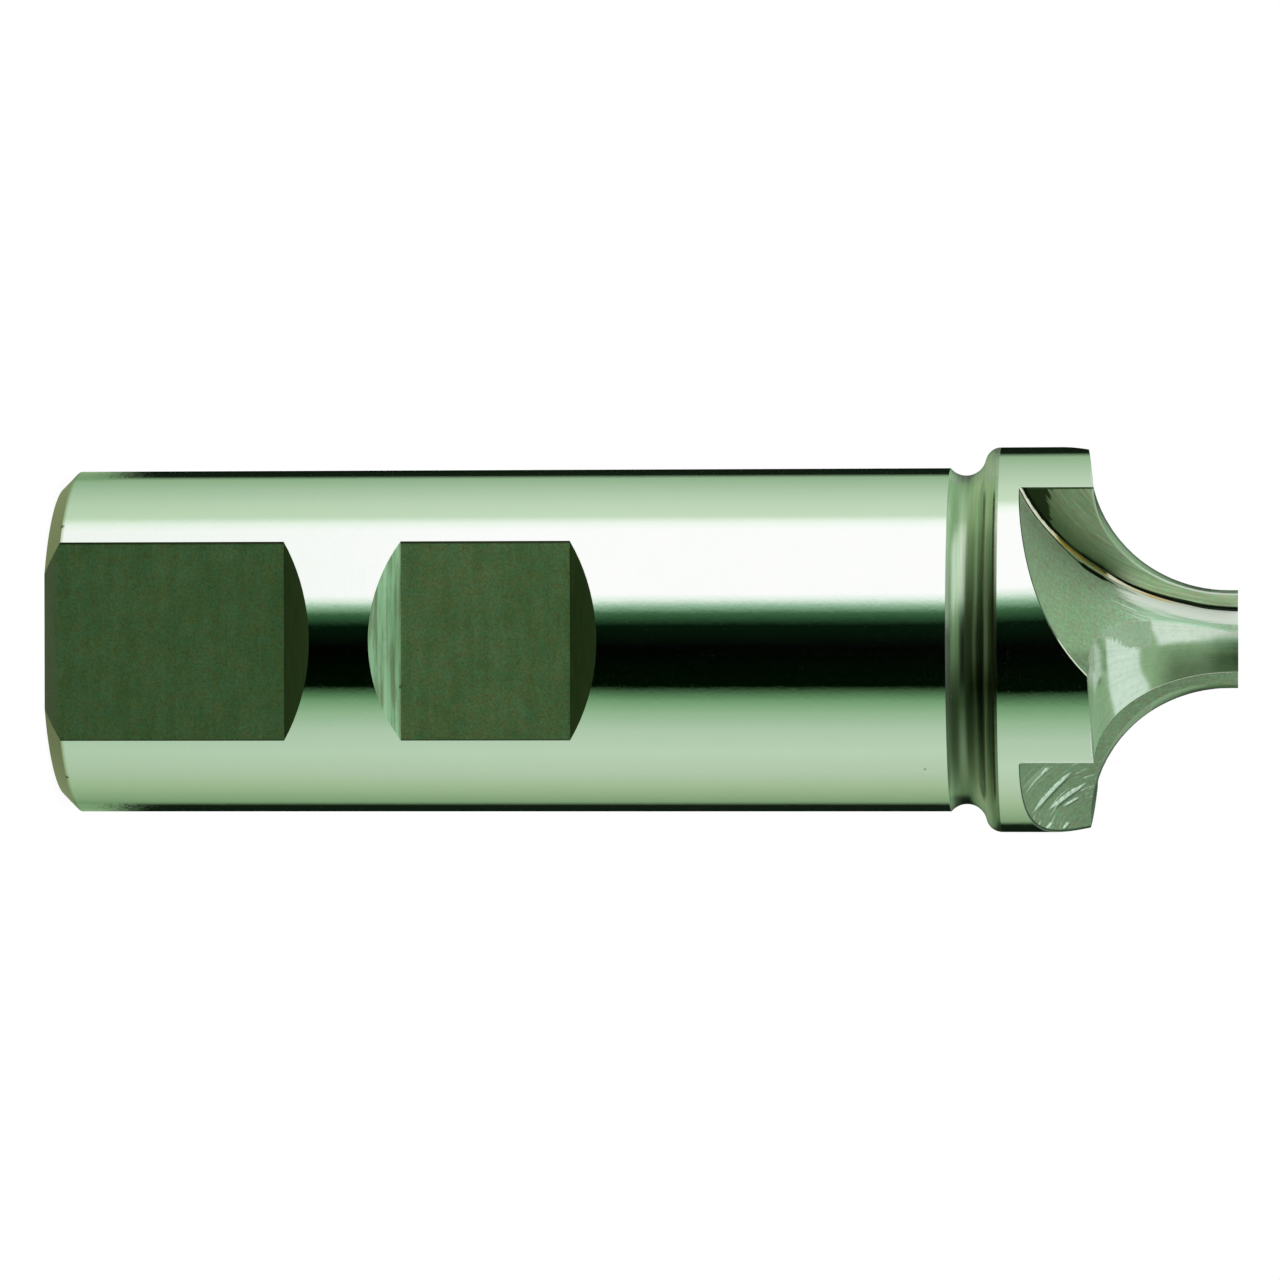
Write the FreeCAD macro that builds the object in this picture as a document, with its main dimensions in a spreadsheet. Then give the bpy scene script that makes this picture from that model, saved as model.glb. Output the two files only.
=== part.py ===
import FreeCAD, Part
import math
import os
import Sketcher

# Corner rounding end mill: one piece of hardened high speed steel, ground from one bar.
# It rounds the outer edge of a workpiece with the hollow quarter-circle flank of its four
# straight teeth, and is driven by a cylindrical shank with two side-lock flats.
# Frame: the origin is the middle of the shank's end face and +Z runs along the tool to its
# tip. The flats face -Y. The tool cuts when it turns counter-clockwise seen from the tip.
# All lengths are in millimetres and all angles in degrees.

NODE = "end_mill"

# Driving dimensions: name, value, what it measures
SIZES = (
    ("overall_length", 85.8, "shank end face to tip face"),
    ("shank_diameter", 25.0, "ground cylinder that the holder grips"),
    ("shank_length", 65.0, "shank end face to the edge of the neck groove"),
    ("end_bevel", 1.15, "45 degree bevel round the shank end"),
    ("centre_bore_diameter", 3.15, "drilled part of the lathe centre in the shank end"),
    ("centre_bore_depth", 6.4, "end face to the end of the drilled part"),
    ("centre_cone_diameter", 6.7, "mouth of the lathe centre"),
    ("centre_cone_angle", 60.0, "full angle of the lathe centre"),
    ("centre_point_angle", 120.0, "full angle of the drill's point"),
    ("flat_depth", 2.25, "shank surface down to the side-lock flats"),
    ("end_flat_length", 17.4, "flat that runs out through the shank end"),
    ("inner_flat_start", 25.85, "shank end face to the flat between two ramps"),
    ("inner_flat_length", 12.2, "level part between the two ramps"),
    ("flat_ramp_angle", 47.0, "ramp of a flat's end, from the tool's axis"),
    ("seam_gap", 2.0, "inner flat's ramp to the seam between the shank's two faces"),
    ("neck_depth", 0.54, "shank surface down to the bottom of the neck groove"),
    ("neck_radius", 1.48, "hollow of the neck groove"),
    ("head_step", 1.5, "shank surface out to the head's cylinder behind the teeth"),
    ("shoulder_radius", 1.15, "round of the head's rear edge"),
    ("corner_radius", 10.0, "quarter circle that the teeth cut"),
    ("pilot_diameter", 8.1, "across the cutting edges at the tip"),
    ("pilot_length", 0.3, "straight run of the cutting edges at the tip"),
    ("tooth_count", 4, "teeth, evenly spaced"),
    ("tooth_angle", 40.1, "from +X to the first tooth's rake face, seen from the tip"),
    ("rake_offset", 0.3, "rake face behind the tool's axis"),
    ("relief_offset", 1.15, "relief axis ahead of the tool's axis, at the tip"),
    ("relief_tilt", 3.7, "relief axis from the tool's axis"),
    ("relief_sweep", 60.0, "relief cut behind the rake face"),
    ("relief_lead", 8.0, "relief cut ahead of the rake face"),
    ("flute_radius", 17.45, "arc of the flute's root along the tool"),
    ("flute_web", 2.55, "tool's axis to the nearest point of the flute's root"),
    ("flute_centre_lead", 0.75, "tip face to the centre of the flute's arc"),
    ("root_radius", 0.25, "round between rake face and flute wall"),
    ("overcut", 2.0, "how far a cutting profile runs past the stock"),
)
size = {name: value for name, value, meaning in SIZES}

# Radius of the head: its value and the sheet's expression for it
head_radius = size["shank_diameter"] / 2 + size["head_step"]
HEAD_RADIUS = "(Sizes.shank_diameter / 2 + Sizes.head_step)"


def make_sheet(doc):
    sheet = doc.addObject("Spreadsheet::Sheet", "Sizes")
    for row, (name, value, meaning) in enumerate(SIZES, start=1):
        sheet.set(f"A{row}", name)
        sheet.set(f"B{row}", str(value))
        sheet.setAlias(f"B{row}", name)
        sheet.set(f"C{row}", meaning)
    doc.recompute()
    return sheet


def origin_feature(body, role):
    return next(item for item in body.Origin.OriginFeatures if item.Role == role)


def new_sketch(body, name, support):
    sketch = body.newObject("Sketcher::SketchObject", name)
    sketch.AttachmentSupport = [(support, "")]
    sketch.MapMode = "FlatFace"
    return sketch


def add_arc(sketch, centre, radius, start, end):
    circle = Part.Circle(centre, FreeCAD.Vector(0, 0, 1), radius)
    return sketch.addGeometry(Part.ArcOfCircle(circle, start, end), False)


def add_lines(sketch, points):
    """Straight edges from point to point, each joined to the one before."""
    lines = []
    for start, end in zip(points, points[1:]):
        lines.append(sketch.addGeometry(Part.LineSegment(start, end), False))
    for before, after in zip(lines, lines[1:]):
        join(sketch, before, 2, after, 1)
    return lines


def join(sketch, first, first_end, second, second_end):
    sketch.addConstraint(Sketcher.Constraint("Coincident", first, first_end, second, second_end))


def level(sketch, *lines):
    for line in lines:
        sketch.addConstraint(Sketcher.Constraint("Horizontal", line))


def upright(sketch, *lines):
    for line in lines:
        sketch.addConstraint(Sketcher.Constraint("Vertical", line))


def drive(sketch, name, expression, kind, *geometry):
    """A named dimension that follows an expression of the sheet's values."""
    index = sketch.addConstraint(Sketcher.Constraint(kind, *geometry))
    sketch.renameConstraint(index, name)
    sketch.setExpression(f"Constraints.{name}", expression)


def across(sketch, name, value, expression, geometry, point):
    """Distance of a point from the sketch's upright axis."""
    drive(sketch, name, expression, "DistanceX", -1, 1, geometry, point, value)


def along(sketch, name, value, expression, geometry, point):
    """Height of a point above the sketch's level axis."""
    drive(sketch, name, expression, "DistanceY", -1, 1, geometry, point, value)


def new_feature(body, kind, name):
    """A feature that keeps the seam between the shank's two faces."""
    feature = body.newObject(f"PartDesign::{kind}", name)
    feature.Refine = False
    return feature


def turn_blank(body):
    """Round blank: bevelled shank, hollow neck groove, rounded shoulder and head. The shank's
    cylinder is two faces that meet past the flats, so the middle of each is fully round."""
    shank = size["shank_diameter"] / 2
    head = head_radius
    bevel = size["end_bevel"]
    hollow = size["neck_radius"]
    shoulder = size["shoulder_radius"]
    top = size["overall_length"]
    ramp = size["flat_depth"] / math.tan(math.radians(size["flat_ramp_angle"]))
    seam = size["inner_flat_start"] + size["inner_flat_length"] + ramp + size["seam_gap"]

    # Centres of the two neck arcs, which touch each other
    hollow_x = shank - size["neck_depth"] + hollow
    hollow_z = size["shank_length"] + math.sqrt(hollow**2 - (hollow_x - shank) ** 2)
    shoulder_x = head - shoulder
    reach = hollow + shoulder
    shoulder_z = hollow_z + math.sqrt(reach**2 - (shoulder_x - hollow_x) ** 2)
    toward_shoulder = math.atan2(shoulder_z - hollow_z, shoulder_x - hollow_x)
    toward_shank = math.atan2(size["shank_length"] - hollow_z, shank - hollow_x)

    sketch = new_sketch(body, "BlankProfile", origin_feature(body, "XZ_Plane"))
    point = FreeCAD.Vector
    axis, end_face, end_slope, flats_side, plain_side = add_lines(
        sketch,
        [
            point(0, top),
            point(0, 0),
            point(shank - bevel, 0),
            point(shank, bevel),
            point(shank, seam),
            point(shank, size["shank_length"]),
        ],
    )
    hollow_arc = add_arc(
        sketch, point(hollow_x, hollow_z), hollow, toward_shoulder, toward_shank + 2 * math.pi
    )
    shoulder_arc = add_arc(
        sketch, point(shoulder_x, shoulder_z), shoulder, toward_shoulder + math.pi, 2 * math.pi
    )
    head_side, tip_face = add_lines(
        sketch, [point(head, shoulder_z), point(head, top), point(0, top)]
    )

    join(sketch, plain_side, 2, hollow_arc, 2)
    sketch.addConstraint(Sketcher.Constraint("Tangent", hollow_arc, 1, shoulder_arc, 1))
    sketch.addConstraint(Sketcher.Constraint("Tangent", shoulder_arc, 2, head_side, 1))
    join(sketch, tip_face, 2, axis, 1)
    join(sketch, axis, 2, -1, 1)
    upright(sketch, axis, flats_side, plain_side, head_side)
    level(sketch, end_face, tip_face)

    along(sketch, "length", top, "Sizes.overall_length", axis, 1)
    across(sketch, "shank", shank, "Sizes.shank_diameter / 2", flats_side, 1)
    along(sketch, "bevel_up", bevel, "Sizes.end_bevel", flats_side, 1)
    inner = "Sizes.shank_diameter / 2 - Sizes.end_bevel"
    across(sketch, "bevel_in", shank - bevel, inner, end_face, 2)
    seam_at = "Sizes.inner_flat_start + Sizes.inner_flat_length + Sizes.seam_gap"
    seam_at += " + Sizes.flat_depth / tan(Sizes.flat_ramp_angle * 1 deg)"
    along(sketch, "seam", seam, seam_at, flats_side, 2)
    along(sketch, "shank_end", size["shank_length"], "Sizes.shank_length", plain_side, 2)
    drive(sketch, "hollow", "Sizes.neck_radius", "Radius", hollow_arc, hollow)
    drive(sketch, "shoulder", "Sizes.shoulder_radius", "Radius", shoulder_arc, shoulder)
    centre = "Sizes.shank_diameter / 2 - Sizes.neck_depth + Sizes.neck_radius"
    across(sketch, "hollow_centre", hollow_x, centre, hollow_arc, 3)
    across(sketch, "head", head, HEAD_RADIUS, head_side, 2)

    blank = new_feature(body, "Revolution", "Blank")
    blank.Profile = sketch
    blank.ReferenceAxis = (sketch, ["V_Axis"])
    blank.Angle = 360
    return blank


def drill_centre(body):
    """Lathe centre in the shank end, on which the tool was turned and ground."""
    mouth = size["centre_cone_diameter"] / 2
    bore = size["centre_bore_diameter"] / 2
    depth = size["centre_bore_depth"]
    cone_depth = (mouth - bore) / math.tan(math.radians(size["centre_cone_angle"] / 2))
    point_depth = bore / math.tan(math.radians(size["centre_point_angle"] / 2))

    sketch = new_sketch(body, "CentreProfile", origin_feature(body, "XZ_Plane"))
    point = FreeCAD.Vector
    axis, face, cone, side, drill_point = add_lines(
        sketch,
        [
            point(0, depth + point_depth),
            point(0, 0),
            point(mouth, 0),
            point(bore, cone_depth),
            point(bore, depth),
            point(0, depth + point_depth),
        ],
    )
    join(sketch, drill_point, 2, axis, 1)
    join(sketch, axis, 2, -1, 1)
    upright(sketch, axis, side)
    level(sketch, face)
    across(sketch, "mouth", mouth, "Sizes.centre_cone_diameter / 2", face, 2)
    across(sketch, "bore", bore, "Sizes.centre_bore_diameter / 2", side, 1)
    along(sketch, "depth", depth, "Sizes.centre_bore_depth", side, 2)
    rise = "(Sizes.centre_cone_diameter - Sizes.centre_bore_diameter) / 2"
    rise += " / tan(Sizes.centre_cone_angle * 1 deg / 2)"
    along(sketch, "cone_depth", cone_depth, rise, cone, 2)
    tip = "Sizes.centre_bore_depth"
    tip += " + Sizes.centre_bore_diameter / 2 / tan(Sizes.centre_point_angle * 1 deg / 2)"
    along(sketch, "point_depth", depth + point_depth, tip, axis, 1)

    centre = new_feature(body, "Groove", "LatheCentre")
    centre.Profile = sketch
    centre.ReferenceAxis = (sketch, ["V_Axis"])
    centre.Angle = 360
    return centre


def mill_flats(body):
    """Two flats in line for the holder's set screws, cut from the side with ramped ends."""
    shank = size["shank_diameter"] / 2
    bed = shank - size["flat_depth"]
    outside = shank + size["overcut"]
    run = (outside - bed) / math.tan(math.radians(size["flat_ramp_angle"]))
    end_top = size["end_flat_length"]
    start = size["inner_flat_start"]
    finish = start + size["inner_flat_length"]

    sketch = new_sketch(body, "FlatsProfile", origin_feature(body, "YZ_Plane"))
    point = FreeCAD.Vector
    bed_at = "-(Sizes.shank_diameter / 2 - Sizes.flat_depth)"
    outside_at = "-(Sizes.shank_diameter / 2 + Sizes.overcut)"
    ramp_run = "(Sizes.flat_depth + Sizes.overcut) / tan(Sizes.flat_ramp_angle * 1 deg)"

    # Flat that runs out through the shank end
    below, end_bed, end_ramp, end_out = add_lines(
        sketch,
        [
            point(-outside, -size["overcut"]),
            point(-bed, -size["overcut"]),
            point(-bed, end_top),
            point(-outside, end_top + run),
            point(-outside, -size["overcut"]),
        ],
    )
    join(sketch, end_out, 2, below, 1)
    level(sketch, below)
    upright(sketch, end_bed, end_out)
    across(sketch, "end_outside", -outside, outside_at, below, 1)
    across(sketch, "end_bed", -bed, bed_at, end_bed, 1)
    along(sketch, "end_below", -size["overcut"], "-Sizes.overcut", below, 1)
    along(sketch, "end_length", end_top, "Sizes.end_flat_length", end_bed, 2)
    end_ramp_top = f"Sizes.end_flat_length + {ramp_run}"
    along(sketch, "end_ramp_top", end_top + run, end_ramp_top, end_ramp, 2)

    # Flat between two ramps
    lower_ramp, inner_bed, upper_ramp, inner_out = add_lines(
        sketch,
        [
            point(-outside, start - run),
            point(-bed, start),
            point(-bed, finish),
            point(-outside, finish + run),
            point(-outside, start - run),
        ],
    )
    join(sketch, inner_out, 2, lower_ramp, 1)
    upright(sketch, inner_bed, inner_out)
    across(sketch, "inner_outside", -outside, outside_at, lower_ramp, 1)
    across(sketch, "inner_bed", -bed, bed_at, inner_bed, 1)
    inner_start = "Sizes.inner_flat_start"
    inner_finish = "Sizes.inner_flat_start + Sizes.inner_flat_length"
    along(sketch, "inner_start", start, inner_start, inner_bed, 1)
    along(sketch, "inner_finish", finish, inner_finish, inner_bed, 2)
    along(sketch, "lower_end", start - run, f"{inner_start} - {ramp_run}", lower_ramp, 1)
    along(sketch, "upper_end", finish + run, f"{inner_finish} + {ramp_run}", upper_ramp, 2)

    flats = new_feature(body, "Pocket", "SideLockFlats")
    flats.Profile = sketch
    flats.SideType = "Symmetric"
    flats.setExpression("Length", "Sizes.shank_diameter")
    return flats


def place_tooth_plane(body):
    """Plane through the tool's axis that the first tooth's rake face is measured from."""
    plane = body.newObject("PartDesign::Plane", "ToothPlane")
    plane.AttachmentSupport = [(origin_feature(body, "XZ_Plane"), "")]
    plane.MapMode = "FlatFace"
    turn = FreeCAD.Rotation(FreeCAD.Vector(0, 1, 0), size["tooth_angle"])
    plane.AttachmentOffset = FreeCAD.Placement(FreeCAD.Vector(), turn)
    plane.setExpression(".AttachmentOffset.Rotation.Angle", "Sizes.tooth_angle")
    return plane


def rake_sketch(body, name, plane):
    """Sketch in the plane of the first tooth's rake face: across from the axis, up the tool."""
    sketch = new_sketch(body, name, plane)
    sketch.AttachmentOffset = FreeCAD.Placement(
        FreeCAD.Vector(0, 0, size["rake_offset"]), FreeCAD.Rotation()
    )
    sketch.setExpression(".AttachmentOffset.Base.z", "Sizes.rake_offset")
    return sketch


def place_relief_axis(body, plane):
    """Axis that a tooth's flank is ground about: ahead of the tool's axis and tilted, so
    that the flank falls away behind the cutting edge both inward and toward the shank."""
    line = body.newObject("PartDesign::Line", "ReliefAxis")
    line.AttachmentSupport = [(plane, "")]
    line.MapMode = "ObjectY"
    tip = FreeCAD.Vector(0, -size["relief_offset"], -size["overall_length"])
    tilt = FreeCAD.Rotation(FreeCAD.Vector(1, 0, 0), size["relief_tilt"])
    line.AttachmentOffset = FreeCAD.Placement(tip, tilt)
    line.setExpression(".AttachmentOffset.Base.y", "-Sizes.relief_offset")
    line.setExpression(".AttachmentOffset.Base.z", "-Sizes.overall_length")
    line.setExpression(".AttachmentOffset.Rotation.Angle", "Sizes.relief_tilt")
    return line


def grind_flank(body, plane, axis):
    """Hollow quarter-circle flank of the first tooth, true to size in its rake face."""
    pilot = size["pilot_diameter"] / 2
    radius = size["corner_radius"]
    outside = head_radius + radius
    tip = size["overall_length"]
    above = tip + size["overcut"]
    arc_top = tip - size["pilot_length"]
    front = arc_top - radius

    sketch = rake_sketch(body, "FlankProfile", plane)
    point = FreeCAD.Vector
    quarter = add_arc(sketch, point(pilot + radius, arc_top), radius, math.pi, 1.5 * math.pi)
    pilot_side, top, outer, front_side = add_lines(
        sketch,
        [
            point(pilot, arc_top),
            point(pilot, above),
            point(outside, above),
            point(outside, front),
            point(pilot + radius, front),
        ],
    )
    sketch.addConstraint(Sketcher.Constraint("Tangent", quarter, 1, pilot_side, 1))
    sketch.addConstraint(Sketcher.Constraint("Tangent", front_side, 2, quarter, 2))
    upright(sketch, pilot_side, outer)
    level(sketch, top, front_side)
    drive(sketch, "corner", "Sizes.corner_radius", "Radius", quarter, radius)
    across(sketch, "pilot", pilot, "Sizes.pilot_diameter / 2", pilot_side, 1)
    arc_at = "Sizes.overall_length - Sizes.pilot_length"
    along(sketch, "arc_top", arc_top, arc_at, quarter, 3)
    outer_at = f"{HEAD_RADIUS} + Sizes.corner_radius"
    across(sketch, "outside", outside, outer_at, outer, 1)
    along(sketch, "above", above, "Sizes.overall_length + Sizes.overcut", top, 1)

    flank = new_feature(body, "Groove", "Flank")
    flank.Profile = sketch
    flank.ReferenceAxis = (axis, [""])
    flank.Type = "TwoAngles"
    flank.setExpression("Angle", "Sizes.relief_sweep")
    flank.setExpression("Angle2", "Sizes.relief_lead")
    return flank


def grind_flute(body, plane):
    """Straight flute ahead of the first tooth: a flat rake face and a wall square to it,
    whose root follows an arc out of the head and runs nearly level at the tip."""
    radius = size["flute_radius"]
    centre_x = size["flute_web"] + radius
    centre_z = size["overall_length"] + size["flute_centre_lead"]
    outside = head_radius + size["overcut"]
    above = centre_z + size["overcut"]
    exit_z = centre_z - math.sqrt(radius**2 - (centre_x - outside) ** 2)
    start_x = centre_x - math.sqrt(radius**2 - size["overcut"] ** 2)
    start = math.atan2(above - centre_z, start_x - centre_x)
    end = math.atan2(exit_z - centre_z, outside - centre_x)

    sketch = rake_sketch(body, "FluteProfile", plane)
    point = FreeCAD.Vector
    root = add_arc(sketch, point(centre_x, centre_z), radius, start, end + 2 * math.pi)
    outer, top = add_lines(
        sketch, [point(outside, exit_z), point(outside, above), point(start_x, above)]
    )
    join(sketch, root, 2, outer, 1)
    join(sketch, top, 2, root, 1)
    upright(sketch, outer)
    level(sketch, top)
    drive(sketch, "root", "Sizes.flute_radius", "Radius", root, radius)
    across(sketch, "centre_x", centre_x, "Sizes.flute_web + Sizes.flute_radius", root, 3)
    centre_at = "Sizes.overall_length + Sizes.flute_centre_lead"
    along(sketch, "centre_z", centre_z, centre_at, root, 3)
    outer_at = f"{HEAD_RADIUS} + Sizes.overcut"
    across(sketch, "outside", outside, outer_at, outer, 1)
    along(sketch, "above", above, f"{centre_at} + Sizes.overcut", top, 1)

    flute = new_feature(body, "Pocket", "Flute")
    flute.Profile = sketch
    flute.Type = "ThroughAll"
    return flute


def repeat_teeth(body, originals):
    teeth = new_feature(body, "PolarPattern", "Teeth")
    teeth.Originals = originals
    teeth.Axis = (origin_feature(body, "Z_Axis"), [""])
    teeth.Angle = 360
    body.Tip = teeth
    teeth.setExpression("Occurrences", "Sizes.tooth_count")
    return teeth


def root_edges(shape):
    """Names of the edges where a rake face meets its flute's wall."""
    radius = size["flute_radius"]
    centre_x = size["flute_web"] + radius
    centre_z = size["overall_length"] + size["flute_centre_lead"]
    names = []
    for number, edge in enumerate(shape.Edges, start=1):
        curve = edge.Curve
        if not isinstance(curve, Part.Circle) or abs(curve.Radius - radius) > 1e-6:
            continue
        reach = math.hypot(curve.Center.x, curve.Center.y)
        same_reach = abs(reach - math.hypot(centre_x, size["rake_offset"])) < 1e-6
        if same_reach and abs(curve.Center.z - centre_z) < 1e-6:
            names.append(f"Edge{number}")
    return names


def round_roots(body, teeth):
    roots = new_feature(body, "Fillet", "FluteRoots")
    roots.Base = (teeth, root_edges(teeth.Shape))
    roots.setExpression("Radius", "Sizes.root_radius")
    return roots


def must_cut(doc, body, before, feature):
    """Stops the build where a cut takes nothing away."""
    doc.recompute()
    after = body.Shape.Volume
    if feature.Shape.isNull() or not after < before - 1e-6:
        raise RuntimeError(f"{feature.Label} cut nothing")
    return after


def check(doc):
    for item in doc.Objects:
        if "Invalid" in item.State or "Error" in item.State:
            raise RuntimeError(f"{item.Label} failed: {item.State}")


def build():
    doc = FreeCAD.newDocument("CornerRoundingEndMill")
    make_sheet(doc)

    body = doc.addObject("PartDesign::Body", NODE)
    body.Label = NODE
    body.Placement = FreeCAD.Placement()
    turn_blank(body)
    doc.recompute()
    volume = body.Shape.Volume

    volume = must_cut(doc, body, volume, drill_centre(body))
    volume = must_cut(doc, body, volume, mill_flats(body))

    plane = place_tooth_plane(body)
    axis = place_relief_axis(body, plane)
    flank = grind_flank(body, plane, axis)
    volume = must_cut(doc, body, volume, flank)
    flute = grind_flute(body, plane)
    volume = must_cut(doc, body, volume, flute)
    teeth = repeat_teeth(body, [flank, flute])
    volume = must_cut(doc, body, volume, teeth)
    round_roots(body, teeth)
    doc.recompute()

    check(doc)
    shape = body.Shape
    if shape.isNull() or not shape.isValid() or len(shape.Solids) != 1:
        raise RuntimeError("the end mill is not one valid solid")
    os.makedirs("parts", exist_ok=True)
    shape.exportStep(f"parts/{NODE}.step")


build()
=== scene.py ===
import bpy
import math
from mathutils import Matrix, Vector

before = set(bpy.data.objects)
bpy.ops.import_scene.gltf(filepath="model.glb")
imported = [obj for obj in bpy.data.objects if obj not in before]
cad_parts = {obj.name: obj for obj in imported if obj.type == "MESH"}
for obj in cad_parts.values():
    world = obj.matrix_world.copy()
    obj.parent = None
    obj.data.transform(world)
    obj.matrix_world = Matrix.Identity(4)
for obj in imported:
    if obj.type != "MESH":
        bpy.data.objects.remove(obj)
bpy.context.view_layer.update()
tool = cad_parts["end_mill"]

# Camera: the tool lies across the picture, its tip to the right, its flats toward the lens.
# Lengths are in metres and angles in radians.
PICTURE_PIXELS = 1280
LENS_PIXELS = 6801.7
SENSOR_MM = 36
CAMERA_DISTANCE = 0.49727
TURN_TO_TIP = 0.082
ROLL = 0.0021
AIM = Vector((-0.000034, 0, 0.04225))

back = Vector((0, -math.cos(TURN_TO_TIP), math.sin(TURN_TO_TIP)))
level_right = Vector((0, math.sin(TURN_TO_TIP), math.cos(TURN_TO_TIP)))
level_up = Vector((-1, 0, 0))
right = level_right * math.cos(ROLL) - level_up * math.sin(ROLL)
up = level_right * math.sin(ROLL) + level_up * math.cos(ROLL)

camera_data = bpy.data.cameras.new("camera")
camera_data.sensor_width = SENSOR_MM
camera_data.lens = LENS_PIXELS / PICTURE_PIXELS * SENSOR_MM
camera_data.clip_start = 0.01
camera_data.clip_end = 20
camera = bpy.data.objects.new("camera", camera_data)
bpy.context.scene.collection.objects.link(camera)
turned = Matrix((right, up, back)).transposed().to_4x4()
camera.matrix_world = Matrix.Translation(AIM + back * CAMERA_DISTANCE) @ turned
bpy.context.scene.camera = camera
bpy.context.scene.view_settings.view_transform = "Standard"


class Graph:
    """Short calls for the nodes of one material or world."""

    def __init__(self, owner):
        owner.use_nodes = True
        self.tree = owner.node_tree
        self.tree.nodes.clear()

    def node(self, kind, **settings):
        made = self.tree.nodes.new(kind)
        for name, value in settings.items():
            setattr(made, name, value)
        return made

    def link(self, value, socket):
        """Link another node's output to the socket, or set a plain value on it."""
        if isinstance(value, bpy.types.NodeSocket):
            self.tree.links.new(value, socket)
        else:
            socket.default_value = value

    def math(self, operation, *values):
        made = self.node("ShaderNodeMath", operation=operation)
        for value, socket in zip(values, made.inputs):
            self.link(value, socket)
        return made.outputs[0]

    def add(self, first, second):
        return self.math("ADD", first, second)

    def less(self, first, second):
        return self.math("SUBTRACT", first, second)

    def times(self, product, *factors):
        for factor in factors:
            product = self.math("MULTIPLY", product, factor)
        return product

    def either(self, first, second):
        """The larger of two values, so 1 where either of two masks is."""
        return self.math("MAXIMUM", first, second)

    def fade(self, value, start, end):
        """0 at start and before, 1 at end and after, smooth between."""
        made = self.node("ShaderNodeMapRange", interpolation_type="SMOOTHSTEP")
        self.link(value, made.inputs["Value"])
        made.inputs["From Min"].default_value = start
        made.inputs["From Max"].default_value = end
        return made.outputs[0]

    def fade_degrees(self, angle, start, end):
        """A fade over an angle in radians, with its start and end in degrees."""
        return self.fade(angle, math.radians(start), math.radians(end))

    def spread(self, value, low, high):
        """A 0 to 1 value spread from low to high."""
        return self.math("MULTIPLY_ADD", value, high - low, low)

    def band(self, value, low, high, edge):
        """1 between low and high, fading to 0 over edge outside them."""
        rise = self.fade(value, low - edge, low)
        fall = self.fade(value, high + edge, high)
        return self.times(rise, fall)

    def length(self, x, y):
        return self.math("SQRT", self.add(self.times(x, x), self.times(y, y)))

    def combine(self, x, y, z):
        made = self.node("ShaderNodeCombineXYZ")
        for value, socket in zip((x, y, z), made.inputs):
            self.link(value, socket)
        return made.outputs[0]

    def split(self, vector):
        made = self.node("ShaderNodeSeparateXYZ")
        self.link(vector, made.inputs[0])
        return made.outputs

    def scale(self, vector, factor):
        made = self.node("ShaderNodeVectorMath", operation="SCALE")
        self.link(vector, made.inputs[0])
        made.inputs["Scale"].default_value = factor
        return made.outputs[0]

    def noise(self, vector, detail, roughness):
        """Noise of about 0 to 1 with one bump to each unit of the vector."""
        made = self.node("ShaderNodeTexNoise")
        self.link(vector, made.inputs["Vector"])
        made.inputs["Scale"].default_value = 1
        made.inputs["Detail"].default_value = detail
        made.inputs["Roughness"].default_value = roughness
        return made.outputs[0]

    def streaks(self, across, fine, along, coarse):
        """Noise drawn out along one coordinate, with its bumps to the unit both ways."""
        stretched = self.combine(self.times(across, fine), self.times(along, coarse), 0)
        return self.noise(stretched, 3, 0.6)

    def ramp(self, factor, stops):
        made = self.node("ShaderNodeValToRGB")
        elements = made.color_ramp.elements
        while len(elements) < len(stops):
            elements.new(1)
        for element, (position, colour) in zip(elements, stops):
            element.position = position
            element.color = (*colour, 1)
        self.link(factor, made.inputs[0])
        return made.outputs[0]

    def mix(self, factor, first, second, how="MIX"):
        made = self.node("ShaderNodeMix", data_type="RGBA", blend_type=how)
        self.link(factor, made.inputs[0])
        for value, socket in ((first, made.inputs[6]), (second, made.inputs[7])):
            self.link((*value, 1) if isinstance(value, tuple) else value, socket)
        return made.outputs[2]

    def tint(self, colour, tones):
        return self.mix(1, colour, tones, "MULTIPLY")

    def retint(self, factor, colour, tones):
        """The colour, tinted by the tones where the factor is 1."""
        return self.mix(factor, colour, self.tint(colour, tones))

    def mix_value(self, factor, first, second):
        made = self.node("ShaderNodeMix", data_type="FLOAT")
        self.link(factor, made.inputs[0])
        self.link(first, made.inputs[2])
        self.link(second, made.inputs[3])
        return made.outputs[0]

    def output_choice(self, kind, factor, first, second):
        """End the graph in the first shader where the factor is 0 and the second where it is 1."""
        made = self.node("ShaderNodeMixShader")
        for value, socket in zip((factor, first, second), made.inputs):
            self.link(value, socket)
        self.link(made.outputs[0], self.node(kind).inputs[0])


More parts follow.
